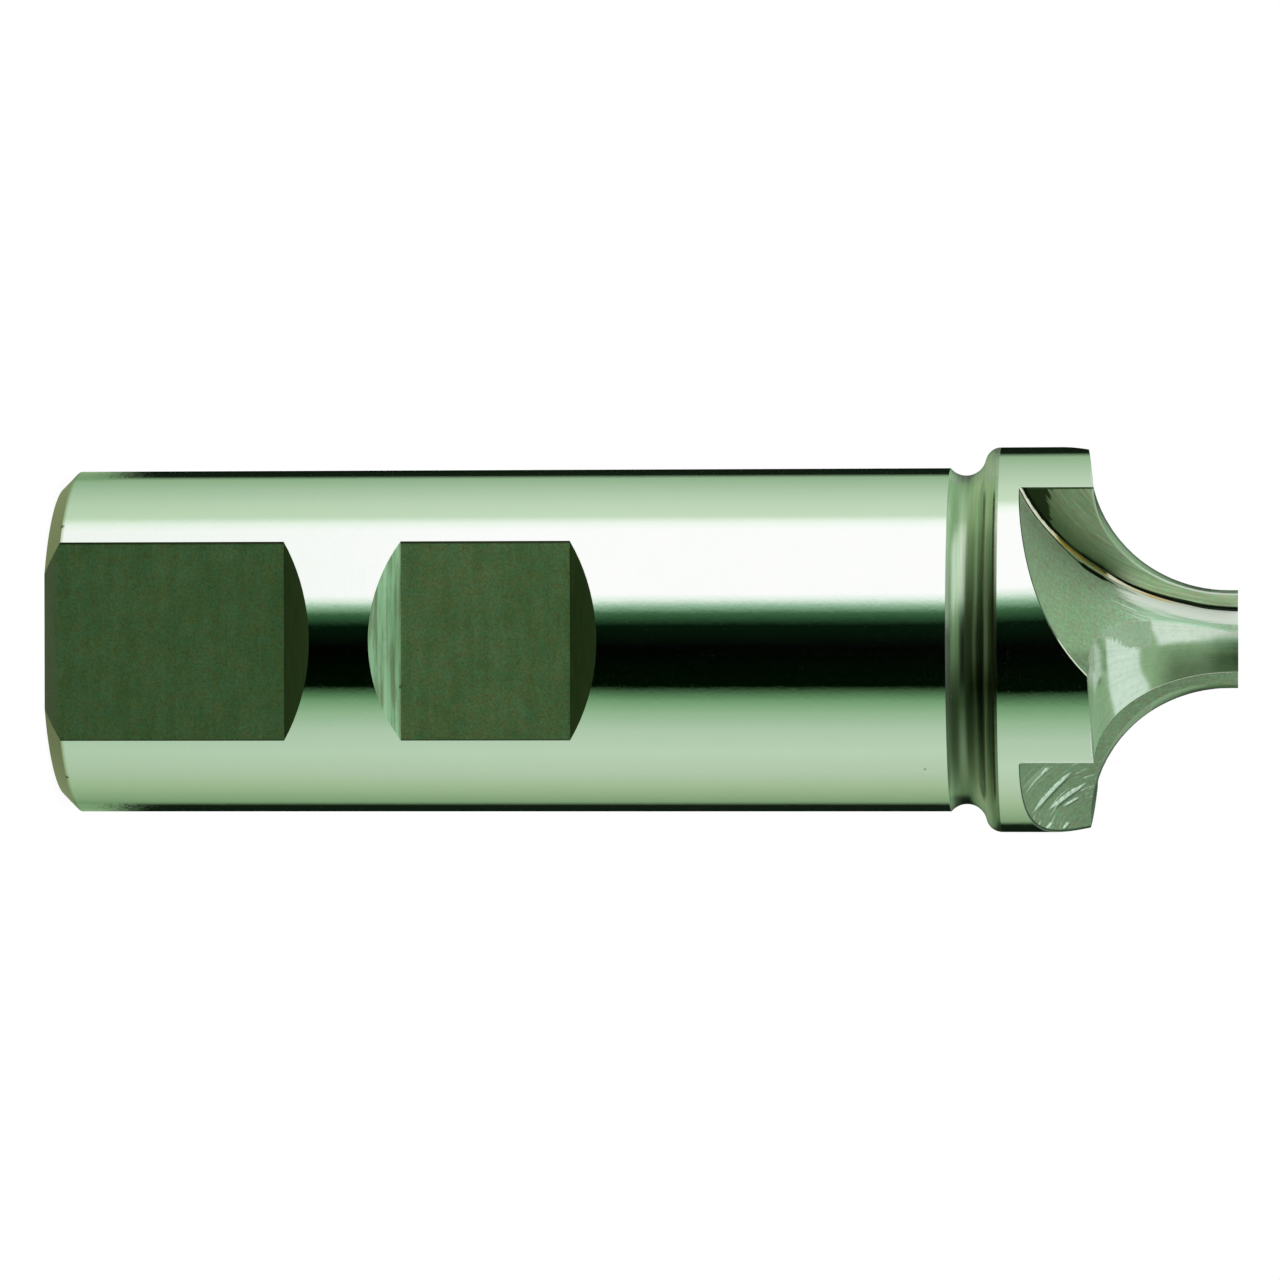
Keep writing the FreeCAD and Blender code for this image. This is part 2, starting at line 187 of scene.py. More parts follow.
# Studio: a light tent round the tool's axis. Angles are in degrees round that axis from the
# camera's side, plus toward the top of the picture. Bright sheets hang above and below, a
# dark gap is left for the lens, and dark strips behind the tool draw its two outlines.
# Past the tip and past the shank end the tent has its own rings.
RING = (
    (-180, (0.004, 0.008, 0.004)),
    (-147, (0.006, 0.013, 0.006)),
    (-140, (0.21, 0.34, 0.18)),
    (-116, (0.36, 0.50, 0.30)),
    (-99, (0.45, 0.58, 0.41)),
    (-80, (0.49, 0.64, 0.47)),
    (-63, (0.43, 0.58, 0.42)),
    (-50, (0.29, 0.47, 0.28)),
    (-41, (0.16, 0.32, 0.16)),
    (-36, (0.07, 0.16, 0.07)),
    (-31, (0, 0.003, 0)),
    (-5, (0, 0, 0)),
    (10, (0.001, 0.008, 0.002)),
    (18, (0.04, 0.12, 0.05)),
    (23, (0.28, 0.47, 0.31)),
    (27, (0.74, 0.87, 0.76)),
    (31, (1, 1, 1)),
    (80, (1, 1, 1)),
    (86, (0.87, 0.96, 0.86)),
    (92, (0.57, 0.72, 0.53)),
    (103, (0.53, 0.68, 0.49)),
    (120, (0.42, 0.57, 0.40)),
    (142, (0.28, 0.44, 0.26)),
    (149, (0.006, 0.013, 0.006)),
    (180, (0.004, 0.008, 0.004)),
)
TIP_RING = (
    (-180, (0.30, 0.48, 0.29)),
    (-130, (0.30, 0.46, 0.28)),
    (-100, (0.12, 0.19, 0.10)),
    (-60, (0.10, 0.17, 0.08)),
    (-20, (0.14, 0.22, 0.12)),
    (5, (0.20, 0.33, 0.18)),
    (22, (0.32, 0.50, 0.30)),
    (27, (0.84, 0.98, 0.88)),
    (80, (0.84, 0.98, 0.88)),
    (90, (0.34, 0.52, 0.32)),
    (180, (0.30, 0.48, 0.29)),
)
END_RING = (
    (-180, (0.42, 0.56, 0.34)),
    (-150, (0.42, 0.56, 0.34)),
    (-120, (0.22, 0.31, 0.17)),
    (-90, (0.08, 0.13, 0.06)),
    (-40, (0.04, 0.07, 0.03)),
    (20, (0.05, 0.08, 0.03)),
    (60, (0.20, 0.29, 0.16)),
    (100, (0.32, 0.44, 0.25)),
    (140, (0.42, 0.56, 0.34)),
    (180, (0.42, 0.56, 0.34)),
)
STRAIGHT_ON = (0.33, 0.51, 0.30)
TIP_WINDOW = (0.80, 0.97, 0.87)
STRIP_END = (0.22, 0.36, 0.19)
STRIP_BACK = (0.34, 0.48, 0.28)
PAST_SHANK = (0.30, 0.38, 0.24)

# Where its parts fade in. A heading is the direction's share along the tool's axis: 1 straight
# past the tip and -1 straight past the shank end.
BEHIND_DEGREES = (138, 146)
STRIP_BACK_DEGREES = (152, 180)
DARK_SIDE_DEGREES = (24, 14)
STRIP_END_HEADING = (-0.1535, -0.162)
DIMMED_HEADING = (-0.08, -0.2)
TIP_RING_HEADING = (0, 0.36)
STRAIGHT_ON_HEADING = (0.81, 0.85)
STRAIGHT_ON_HEADING_DARK_SIDE = (0.68, 0.94)
WINDOW_HEADING = (0.5, 0.6)
WINDOW_X = (-0.2, 0.4)
WINDOW_Y = (-0.2, 0.45)
WINDOW_EDGE = 0.04
END_RING_HEADING = (-0.22, -0.4)
PAST_SHANK_HEADING = (-0.88, -0.96)
DIMMED = (0.86, 0.92, 0.86)

world = bpy.data.worlds.new("studio")
bpy.context.scene.world = world
g = Graph(world)
toward_x, toward_y, heading = g.split(g.node("ShaderNodeTexCoord").outputs["Generated"])
round_axis = g.math("ARCTAN2", g.times(toward_x, -1), g.times(toward_y, -1))
share = g.math("MULTIPLY_ADD", round_axis, 1 / (2 * math.pi), 0.5)
ring, tip_ring, end_ring = (
    g.ramp(share, [(angle / 360 + 0.5, colour) for angle, colour in stops])
    for stops in (RING, TIP_RING, END_RING)
)
off_lens = g.math("ABSOLUTE", round_axis)
behind = g.fade_degrees(off_lens, *BEHIND_DEGREES)
strip_end = g.mix(g.fade_degrees(off_lens, *STRIP_BACK_DEGREES), STRIP_END, STRIP_BACK)
tent = g.mix(g.times(behind, g.fade(heading, *STRIP_END_HEADING)), ring, strip_end)
tent = g.retint(g.fade(heading, *DIMMED_HEADING), tent, DIMMED)
tent = g.mix(g.fade(heading, *TIP_RING_HEADING), tent, tip_ring)
straight_on = g.mix_value(
    g.fade_degrees(round_axis, *DARK_SIDE_DEGREES),
    g.fade(heading, *STRAIGHT_ON_HEADING),
    g.fade(heading, *STRAIGHT_ON_HEADING_DARK_SIDE),
)
tent = g.mix(straight_on, tent, STRAIGHT_ON)
window = g.times(
    g.band(toward_x, *WINDOW_X, WINDOW_EDGE),
    g.band(toward_y, *WINDOW_Y, WINDOW_EDGE),
    g.fade(heading, *WINDOW_HEADING),
)
tent = g.mix(window, tent, TIP_WINDOW)
tent = g.mix(g.fade(heading, *END_RING_HEADING), tent, end_ring)
tent = g.mix(g.fade(heading, *PAST_SHANK_HEADING), tent, PAST_SHANK)

# Only reflections see the tent. The camera and soft light see plain white.
in_metal = g.node("ShaderNodeBackground")
g.link(tent, in_metal.inputs[0])
plain = g.node("ShaderNodeBackground")
plain.inputs[0].default_value = (1, 1, 1, 1)
rays = g.node("ShaderNodeLightPath")
seen = g.either(rays.outputs["Is Glossy Ray"], rays.outputs["Is Transmission Ray"])
g.output_choice("ShaderNodeOutputWorld", seen, plain.outputs[0], in_metal.outputs[0])

# Floor: plain white under the shank end, with the tool's soft shadow
FLOOR_RADIUS = 0.35
FLOOR_PAINT = (0.12, 0.12, 0.12, 1)
FLOOR_GLOW = (0.93, 0.93, 0.93, 1)

bpy.ops.mesh.primitive_circle_add(vertices=96, radius=FLOOR_RADIUS, fill_type="NGON")
floor = bpy.context.object
floor.name = "floor"
floor.visible_glossy = False
paper = bpy.data.materials.new("floor_paper")
g = Graph(paper)
lit = g.node("ShaderNodeBsdfDiffuse")
lit.inputs[0].default_value = FLOOR_PAINT
glow = g.node("ShaderNodeEmission")
glow.inputs[0].default_value = FLOOR_GLOW
both = g.node("ShaderNodeAddShader")
g.link(lit.outputs[0], both.inputs[0])
g.link(glow.outputs[0], both.inputs[1])
to_camera = g.node("ShaderNodeLightPath").outputs["Is Camera Ray"]
g.output_choice("ShaderNodeOutputMaterial", to_camera, lit.outputs[0], both.outputs[0])
floor.data.materials.append(paper)

# Steel. From here on lengths are in millimetres, in the tool's own frame, where z runs from
# the shank end to the tip and x from the top of the picture to its bottom.
HEAD_RADIUS = 14.0
BEVEL_TOP = 1.15
FLAT_Y = -10.25
RAMPS_START = 1.3
FLATS_TOP = 41.0
SHANK_TOP = 65.0
HEAD_START = 68.7
TOOTH_ANGLE = 40.1
TOOTH_SPAN_BEHIND = 20
RAKE_BEHIND = 0.3
ARC_CENTRE = (20.0, 86.55)
ARC_RADIUS = 17.45
HOLLOW_CENTRE = (14.05, 85.5)

# Where the lines along a tooth's edges fade in: the cutting edge's painted highlight by the
# distance from the hollow's centre, the rims' by the distance from the tool's axis
CUTTING_EDGE_HIGHLIGHT = (10.2, 10.1)
RAKE_RIM = (HEAD_RADIUS - 0.22, HEAD_RADIUS - 0.14)
WALL_RIM = (HEAD_RADIUS - 0.23, HEAD_RADIUS - 0.14)

# How far a finish reaches past its face's edge, and the part of the normal along an axis that
# counts as square to it
SLACK = 0.02
SQUARE_ON = (-0.97, -0.99)

# The heel's start and end along the tool, how fast it widens and its width's limits
HEEL_START = 75.7
HEEL_END = (79.65, 79.45)
HEEL_GROWTH = 0.45
HEEL_WIDTH = (0.1, 1.05)

# Lines across the inner flat's ramp and round the neck: where they start and end
RAMP_LINES = ((24.8, 24.9), (25.6, 25.72))
NECK_LINES = ((67.66, 67.76), (68.38, 68.46))

# How dark the neck's painted shade is, by x
NECK_PAINTED_SHADE = (
    (-14, 0), (-8, 0), (-5, 0.2), (-2, 0.4), (1, 0.5), (4.5, 0.84), (8, 0.6), (12, 0.5),
)

# Small nicks: x, y, z and radius
NICKS = (
    (-8.3, -9.3, 1.15, 0.12),
    (9.8, -7.7, 1.2, 0.1),
    (3.3, -10.25, 25.75, 0.1),
    (9.3, -8.4, 63.4, 0.04),
    (2.9, -6.4, 78.3, 0.12),
    (0.4, -4.5, 82.3, 0.05),
    (-3.1, 12.1, 20, 0.04),
    (11.9, 3.8, 48, 0.04),
)

# Coarse grinding scratches on the lower flute's wall: z, x, slope in degrees, half the length
# and the width. They lie where x is past SCRATCHED_X, over finer marks round SWEEP_CENTRE.
SCRATCHES = (
    (72.33, 10.9, -46.8, 2.5, 0.1),
    (73.4, 11.3, -35.5, 2.0, 0.1),
    (71.9, 9.4, -45, 0.5, 0.06),
    (73.7, 11.75, -30, 0.8, 0.06),
    (72.1, 13.5, -50, 0.5, 0.07),
    (73.3, 13.5, -50, 0.4, 0.07),
)
SCRATCHED_X = (8.5, 9.3)
SCRATCH_BEND = 0.03
SWEEP_CENTRE = (14.5, 76)

# Colour of the line along a flute's root, by z: gold and brown heat tint, with cream and white as
# painted highlight
ROOT_LINE_START = 70
ROOT_LINE_LENGTH = 16
ROOT_GOLD_AND_HIGHLIGHT = (
    (70, (1, 0.98, 0.85)),
    (72.2, (1, 0.96, 0.72)),
    (72.8, (0.9, 0.70, 0.40)),
    (73.2, (0.72, 0.38, 0.10)),
    (74.4, (0.62, 0.36, 0.12)),
    (75.2, (0.46, 0.34, 0.16)),
    (76.2, (0.60, 0.34, 0.14)),
    (76.6, (1, 0.95, 0.76)),
    (78.6, (1, 0.92, 0.64)),
    (79.6, (1, 0.72, 0.32)),
    (80.8, (1, 0.85, 0.55)),
    (81.8, (1, 1, 0.92)),
    (86, (1, 1, 1)),
)

steel = bpy.data.materials.new("tool_steel_ground")
g = Graph(steel)
place = g.scale(g.node("ShaderNodeTexCoord").outputs["Object"], 1000)
x, y, z = g.split(place)
_, normal_y, normal_z = g.split(g.node("ShaderNodeNewGeometry").outputs["Normal"])
reach = g.length(x, y)
azimuth = g.math("ARCTAN2", y, x)

# Each tooth's own frame: out along its rake face, ahead of it, from the centre of its flute's
# arc and along that arc, and from the centre of the hollow quarter circle
turn = g.less(azimuth, math.radians(TOOTH_ANGLE - TOOTH_SPAN_BEHIND))
turn = g.math("FLOORED_MODULO", turn, math.pi / 2)
turn = g.less(turn, math.radians(TOOTH_SPAN_BEHIND))
out = g.times(reach, g.math("COSINE", turn))
ahead = g.times(reach, g.math("SINE", turn))
from_x = g.less(out, ARC_CENTRE[0])
from_z = g.less(z, ARC_CENTRE[1])
from_arc = g.length(from_x, from_z)
along_arc = g.times(g.math("ARCTAN2", from_z, from_x), ARC_RADIUS)
from_hollow = g.length(g.less(out, HOLLOW_CENTRE[0]), g.less(z, HOLLOW_CENTRE[1]))

# Where each finish is, 1 inside and 0 outside
inside_rim = g.fade(reach, HEAD_RADIUS - 0.015, HEAD_RADIUS - 0.03)
teeth = g.times(g.fade(z, HEAD_START, HEAD_START + 0.1), inside_rim)
level = g.band(y, FLAT_Y - SLACK, FLAT_Y + SLACK, 0.03)
below_top = g.fade(z, FLATS_TOP, FLATS_TOP - 0.1)
on_flats = g.times(g.fade(normal_y, *SQUARE_ON), level, below_top)
slopes = g.times(g.band(z, RAMPS_START, FLATS_TOP, 0.05), g.fade(normal_y, -0.5, -0.6))
tip_ramps = g.times(slopes, g.fade(normal_z, -0.4, -0.6))
end_ramp = g.times(slopes, g.fade(normal_z, 0.4, 0.6))
ramps = g.either(tip_ramps, end_ramp)
end_face = g.times(g.fade(z, 0.03, 0.01), g.fade(normal_z, *SQUARE_ON))
bevel = g.times(g.band(z, SLACK, BEVEL_TOP, SLACK), g.band(normal_z, -0.9, -0.5, 0.05))
turned_end = g.either(bevel, end_face)
neck = g.band(z, SHANK_TOP + SLACK, HEAD_START - SLACK, SLACK)
wall = g.times(teeth, g.band(from_arc, ARC_RADIUS - SLACK, ARC_RADIUS + 0.05, SLACK))
rake = g.times(teeth, g.band(ahead, -RAKE_BEHIND - 0.03, -RAKE_BEHIND + 0.01, 0.01))
root = g.times(
    teeth,
    g.band(ahead, -RAKE_BEHIND + SLACK, -0.05, SLACK),
    g.band(from_arc, ARC_RADIUS - 0.24, ARC_RADIUS - 0.01, 0.01),
)
in_flute = g.either(g.either(wall, rake), root)

# Fine marks
specks = g.noise(g.scale(place, 7), 3, 0.7)
grains = g.noise(g.scale(place, 4), 2, 0.6)
clouds = g.noise(g.scale(place, 0.45), 3, 0.6)
patches = g.noise(g.scale(place, 2), 3, 0.65)
round_marks = g.streaks(z, 16, azimuth, 5)
ripples = g.streaks(z, 1.2, azimuth, 12)
turned_marks = g.streaks(z, 6, azimuth, 1.5)
cross_bands = g.streaks(z, 0.9, x, 0.12)
cross_marks = g.streaks(z, 4.5, x, 0.35)
ramp_marks = g.streaks(z, 3.2, x, 0.16)
rake_marks = g.streaks(from_arc, 5, along_arc, 0.25)
wall_marks = g.streaks(ahead, 3.5, along_arc, 0.18)
wall_scuffs = g.streaks(ahead, 6, along_arc, 0.7)
relief_marks = g.streaks(g.times(turn, 9), 3, z, 0.25)
sweep = g.length(g.less(x, SWEEP_CENTRE[0]), g.less(z, SWEEP_CENTRE[1]))
coarse_marks = g.streaks(sweep, 2.6, g.add(x, z), 0.45)
fine_sweeps = g.streaks(sweep, 6, g.add(x, z), 0.7)
greenish = g.fade(patches, 0.36, 0.64)


def mottle(colour, red_tones, green_tones):
    """The colour in reddish and greenish patches."""
    return g.mix(greenish, g.tint(colour, red_tones), g.tint(colour, green_tones))


# Each tooth's heel, where the flute's wall is blended into the relief by hand
past_wall = g.less(from_arc, ARC_RADIUS)
heel_width = g.either(g.times(g.less(z, HEEL_START), HEEL_GROWTH), HEEL_WIDTH[0])
heel_width = g.math("MINIMUM", heel_width, HEEL_WIDTH[1])
ragged = g.less(g.add(past_wall, g.times(grains, 0.5)), heel_width)
heel = g.times(
    teeth,
    g.fade(ragged, 0.33, 0.17),
    g.fade(z, *HEEL_END),
    g.fade(ahead, 0.6, 0.7),
    g.fade(past_wall, 0.02, 0.06),
)
wall = g.either(wall, heel)

# Colour of the ground cylinders, with painted glints on the head's edges and painted shading on
# the shank end's worn, rounded edge
colour = g.mix(clouds, (0.95, 0.97, 0.95), (0.985, 0.99, 0.98))
# Painted glints along the head's edges
tooth_edge = g.times(g.band(ahead, -0.44, -0.34, 0.05), g.fade(z, 70.3, 70.8))
front_edge = g.times(g.fade(z, 75.24, 75.3), g.fade(grains, 0.36, 0.46))
on_rim = g.fade(reach, HEAD_RADIUS - 0.015, HEAD_RADIUS - 0.01)
painted_edge_glints = g.times(g.either(tooth_edge, front_edge), on_rim)
colour = g.mix(painted_edge_glints, colour, (0.86, 0.95, 0.85))
# Painted shading of the rounded edge above the shank's bevel
worn_edge_painted_shading = g.times(g.band(z, BEVEL_TOP, BEVEL_TOP + SLACK, 0.24), 0.8)
colour = g.mix(worn_edge_painted_shading, colour, (0.56, 0.58, 0.42))

# Colour of the side-lock flats and their ramps
flat_colour = g.mix(g.fade(specks, 0.3, 0.7), (0.36, 0.56, 0.27), (0.54, 0.76, 0.41))
flat_colour = mottle(flat_colour, (1.10, 0.95, 0.86), (0.92, 1.04, 1.08))
flat_colour = g.retint(g.fade(grains, 0.36, 0.28), flat_colour, (0.72, 0.72, 0.66))
flat_colour = g.mix(g.fade(grains, 0.66, 0.74), flat_colour, (0.52, 0.86, 0.56))
flat_colour = g.retint(g.fade(clouds, 0.35, 0.65), flat_colour, (1.15, 1.08, 1.12))
flat_colour = g.retint(g.fade(cross_bands, 0.4, 0.6), flat_colour, (0.88, 0.92, 0.88))
flat_colour = g.retint(g.fade(z, 25, 18), flat_colour, (0.78, 0.86, 0.83))
# Painted shading of the flats' rounded end by the shank end
flat_colour = g.mix(g.fade(z, 1.2, 0.2), flat_colour, (0.50, 0.56, 0.36))
flat_colour = g.mix(g.fade(x, -6.9, -7.1), flat_colour, (0.10, 0.10, 0.06))
flat_colour = g.mix(g.fade(x, 7.0, 7.15), flat_colour, (0.14, 0.18, 0.10))
colour = g.mix(on_flats, colour, flat_colour)
tip_ramp_colour = g.mix(cross_marks, (0.065, 0.095, 0.045), (0.15, 0.20, 0.10))
colour = g.mix(tip_ramps, colour, tip_ramp_colour)
end_ramp_colour = g.mix(g.fade(ramp_marks, 0.38, 0.6), (0.38, 0.47, 0.31), (0.60, 0.86, 0.63))
strong_line, weak_line = RAMP_LINES
ramp_lines = g.either(g.band(z, *strong_line, 0.1), g.times(g.band(z, *weak_line, 0.08), 0.6))
ramp_lines = g.times(ramp_lines, g.spread(grains, 0.3, 1.1))
end_ramp_colour = g.mix(ramp_lines, end_ramp_colour, (0.78, 1, 0.80))
colour = g.mix(end_ramp, colour, end_ramp_colour)

# Colour of the shank's end face and bevel
colour = g.mix(end_face, colour, g.mix(clouds, (0.62, 0.66, 0.56), (0.76, 0.80, 0.70)))
colour = g.mix(bevel, colour, g.mix(specks, (0.36, 0.34, 0.23), (0.54, 0.50, 0.37)))

# Colour of the neck, with painted shade on one side, two dark lines round it and a painted
# highlight by the shank
neck_colour = g.mix(g.fade(turned_marks, 0.3, 0.7), (0.54, 0.63, 0.48), (0.64, 0.75, 0.60))
across_head = g.math("MULTIPLY_ADD", x, 1 / (2 * HEAD_RADIUS), 0.5)
# Painted shade on the neck, by x and z
neck_shade_stops = [(at / (2 * HEAD_RADIUS) + 0.5, (dark, dark, dark)) for at, dark in NECK_PAINTED_SHADE]
neck_painted_shade = g.ramp(across_head, neck_shade_stops)
neck_painted_shade = g.add(neck_painted_shade, g.times(g.fade(z, 66.3, 67.0), g.band(x, -7, 3, 2), 0.3))
neck_painted_shade = g.less(neck_painted_shade, g.times(g.fade(z, 66.6, 65.4), g.fade(x, 3.5, 1.0), 0.35))
neck_painted_shade = g.either(neck_painted_shade, 0)
neck_painted_shade = g.add(neck_painted_shade, g.times(g.fade(x, 11.0, 11.6), g.fade(z, 67.0, 66.2), 0.6))
neck_colour = g.mix(neck_painted_shade, neck_colour, (0.06, 0.08, 0.04))
dark_lines = g.either(*(g.band(z, *line, 0.08) for line in NECK_LINES))
dark_lines = g.times(dark_lines, g.band(x, -10, 10.8, 1), g.spread(grains, 0.5, 1.3))
neck_colour = g.mix(dark_lines, neck_colour, (0.10, 0.10, 0.05))
# A painted highlight along the neck's edge by the shank, strongest where x is -9 to -2
neck_edge_highlight = g.times(g.fade(z, 65.5, 65.15), g.spread(g.band(x, -9, -2, 2), 0.35, 1))
neck_colour = g.mix(neck_edge_highlight, neck_colour, (0.64, 0.90, 0.62))
colour = g.mix(neck, colour, neck_colour)

# Colour of the relief, with painted shade in steps beside the tip
relief_colour = g.mix(g.fade(relief_marks, 0.3, 0.7), (0.66, 0.70, 0.62), (0.74, 0.77, 0.71))
relief_colour = g.retint(g.fade(patches, 0.6, 0.36), relief_colour, (0.92, 0.94, 0.92))
relief_colour = g.mix(g.fade(grains, 0.26, 0.2), relief_colour, (0.30, 0.36, 0.28))
painted_tip_shade = g.mix(g.fade(x, 0.3, 0.9), (0.66, 0.86, 0.68), (0.90, 1.12, 0.80))
painted_tip_shade = g.mix(g.fade(x, 0.9, 1.4), painted_tip_shade, (0.68, 0.84, 0.62))
painted_shade_by_tip = g.times(g.fade(z, 83, 84.8), g.fade(x, -0.5, 0.1))
relief_colour = g.retint(painted_shade_by_tip, relief_colour, painted_tip_shade)
colour = g.mix(teeth, colour, relief_colour)

# Colour of the flute's wall: scuffed, with painted light toward the tip above the tool's middle
# and painted shade below it, and a painted light haze and pale streaks, partly painted light,
# beside the rake face
wall_colour = g.mix(g.fade(grains, 0.3, 0.7), (0.30, 0.41, 0.25), (0.36, 0.55, 0.34))
wall_colour = mottle(wall_colour, (1.08, 0.94, 0.95), (0.92, 1.04, 1.02))
lower = g.fade(x, 0.3, 1.5)
not_lower = g.less(1, lower)
# Painted light on the upper walls toward the tip
painted_light_above = g.times(g.fade(z, 74.5, 79), not_lower)
wall_colour = g.retint(painted_light_above, wall_colour, (1.38, 1.30, 1.50))
pale_scuffs = g.times(g.fade(wall_scuffs, 0.58, 0.7), 0.5)
wall_colour = g.mix(pale_scuffs, wall_colour, (0.52, 0.76, 0.56))
dark_scuffs = g.times(g.fade(wall_scuffs, 0.4, 0.3), 0.5)
wall_colour = g.mix(dark_scuffs, wall_colour, (0.14, 0.19, 0.12))
# Painted shade on the lower walls
painted_shade_below_tones = g.mix(g.fade(z, 75, 77), (0.62, 0.64, 0.62), (0.79, 0.81, 0.78))
wall_colour = g.retint(lower, wall_colour, painted_shade_below_tones)
jitter = g.less(wall_marks, 0.5)
from_head = g.add(z, g.times(jitter, 6))
upper = g.times(not_lower, g.less(1, heel))
near_rake = g.fade(ahead, 3.2, 2.4)
# A painted light haze beside the rake face on the upper walls
painted_light_haze = g.times(g.fade(from_head, 77.5, 79.5), g.spread(g.fade(z, 83.5, 85), 0.8, 0.3))
wall_colour = g.mix(g.times(upper, painted_light_haze, near_rake), wall_colour, (0.56, 0.82, 0.61))
# A pale band by the root and pale grinding streaks, kept to the upper walls as painted light
pale_streaks_and_painted_light = g.times(jitter, g.spread(g.fade(z, 78, 82), 2.5, 1.2))
pale_streaks_and_painted_light = g.fade(g.add(ahead, pale_streaks_and_painted_light), 1.45, 1.05)
pale_streaks = g.times(g.fade(wall_marks, 0.5, 0.6), g.spread(g.fade(z, 80, 82), 0.8, 0.25))
pale_streaks_and_painted_light = g.either(g.times(pale_streaks, near_rake), pale_streaks_and_painted_light)
pale_streaks_and_painted_light = g.times(pale_streaks_and_painted_light, g.fade(from_head, 76.6, 78.8), upper)
wall_colour = g.mix(pale_streaks_and_painted_light, wall_colour, (0.92, 1.0, 0.90))

# Coarse grinding marks and scratches on the lower flute's wall. Each scratch is a bright line,
# pointed at both ends, with a shadow along one side.
coarse = g.either(g.fade(coarse_marks, 0.58, 0.66), g.fade(fine_sweeps, 0.6, 0.68))
coarse = g.times(coarse, g.fade(sweep, 2.4, 3.6), 0.8)
shadow = 0
for at_z, at_x, slope, half, wide in SCRATCHES:
    cosine, sine = math.cos(math.radians(slope)), math.sin(math.radians(slope))
    past_z, past_x = g.less(z, at_z), g.less(x, at_x)
    along = g.add(g.times(past_z, cosine), g.times(past_x, sine))
    over = g.less(g.times(past_x, cosine), g.times(past_z, sine))
    over = g.add(over, g.times(grains, 1.6 * wide))
    over = g.less(over, g.times(along, along, SCRATCH_BEND))
    within = g.band(along, -half / 3, half / 3, half * 2 / 3)
    off_line = g.math("ABSOLUTE", g.times(g.less(over, 0.8 * wide), 0.6 / wide))
    coarse = g.either(coarse, g.fade(g.less(within, off_line), 0, 0.4))
    off_shadow = g.math("ABSOLUTE", g.times(g.less(over, 3.2 * wide), 0.9 / wide))
    shadow = g.either(shadow, g.fade(g.less(within, off_shadow), 0.2, 0.6))
scratched = g.fade(x, *SCRATCHED_X)
coarse = g.times(coarse, scratched, g.spread(g.fade(grains, 0.3, 0.6), 0.5, 1))
wall_colour = g.mix(g.times(shadow, scratched), wall_colour, (0.08, 0.13, 0.08))
wall_colour = g.mix(coarse, wall_colour, (0.78, 0.96, 0.82))
wall_colour = g.mix(g.times(heel, 0.5), wall_colour, (0.31, 0.42, 0.30))
# The wall's rim: dark, with a painted highlight where x is 0.2 to 3.4
wall_rim_dark_and_highlight = g.mix(g.band(x, 0.2, 3.4, 0.5), (0.03, 0.05, 0.03), (0.95, 1, 0.85))
wall_colour = g.mix(g.fade(reach, *WALL_RIM), wall_colour, wall_rim_dark_and_highlight)
colour = g.mix(wall, colour, wall_colour)

# Colour of the rake face, with painted shade toward the root, a painted dark reflection in its
# corner there and a painted highlight along the cutting edge
rake_colour = g.mix(g.fade(rake_marks, 0.3, 0.7), (0.54, 0.55, 0.47), (0.82, 0.81, 0.74))
rake_colour = mottle(rake_colour, (1.06, 0.94, 0.94), (0.94, 1.08, 1.0))
painted_shade_by_root = g.times(g.fade(from_arc, ARC_RADIUS - 3, ARC_RADIUS - 0.4), g.fade(z, 80, 76))
rake_colour = g.mix(painted_shade_by_root, rake_colour, (0.30, 0.35, 0.24))
# A painted dark reflection in the rake's corner by the root, with a ragged edge
painted_reflection_edge_z = g.add(z, g.times(rake_marks, 1.6))
rake_colour = g.mix(g.fade(painted_reflection_edge_z, 73.16, 73.08), rake_colour, (0.07, 0.09, 0.05))
rake_colour = g.retint(g.fade(z, 76, 80), rake_colour, (0.66, 0.87, 0.62))
# A painted highlight along the cutting edge
rake_colour = g.mix(g.fade(from_hollow, *CUTTING_EDGE_HIGHLIGHT), rake_colour, (0.98, 1.0, 0.95))
rake_colour = g.mix(g.fade(reach, *RAKE_RIM), rake_colour, (0.12, 0.15, 0.09))
colour = g.mix(rake, colour, rake_colour)

# The root's line: gold heat tint and a painted cream highlight, between painted dark reflections.
# It is crossed from the rake face to the wall, and it lies a little further up the wall past z
# 75.5 and z 82.
across = g.less(g.add(ahead, RAKE_BEHIND), g.less(ARC_RADIUS, from_arc))
moved = g.less(across, g.times(g.fade(z, 75.5, 78.5), 0.25))
moved = g.less(moved, g.times(g.fade(z, 82, 83.5), 0.09))
from_line = g.add(g.math("ABSOLUTE", g.add(moved, 0.05)), g.times(g.fade(z, 73, 72.2), 0.06))
root_tint_and_highlight = g.times(in_flute, g.fade(from_line, 0.2, 0.15))
along_root = g.math("MULTIPLY_ADD", z, 1 / ROOT_LINE_LENGTH, -ROOT_LINE_START / ROOT_LINE_LENGTH)
root_line_stops = [((at - ROOT_LINE_START) / ROOT_LINE_LENGTH, tone) for at, tone in ROOT_GOLD_AND_HIGHLIGHT]
colour = g.mix(root_tint_and_highlight, colour, g.ramp(along_root, root_line_stops))
rake_line = g.math("DIVIDE", g.add(moved, 0.34), g.spread(g.fade(z, 75.5, 83), 0.09, 0.2))
rake_line = g.times(g.band(rake_line, -1, 1, 0.3), g.spread(g.band(z, 73.8, 76.5, 0.8), 1, 0.7))
wall_line = g.less(g.less(across, g.times(g.fade(z, 72.3, 74.8), 0.36)), 0.22)
wall_line = g.math("DIVIDE", wall_line, g.spread(g.band(z, 74.8, 76, 0.6), 0.05, 0.17))
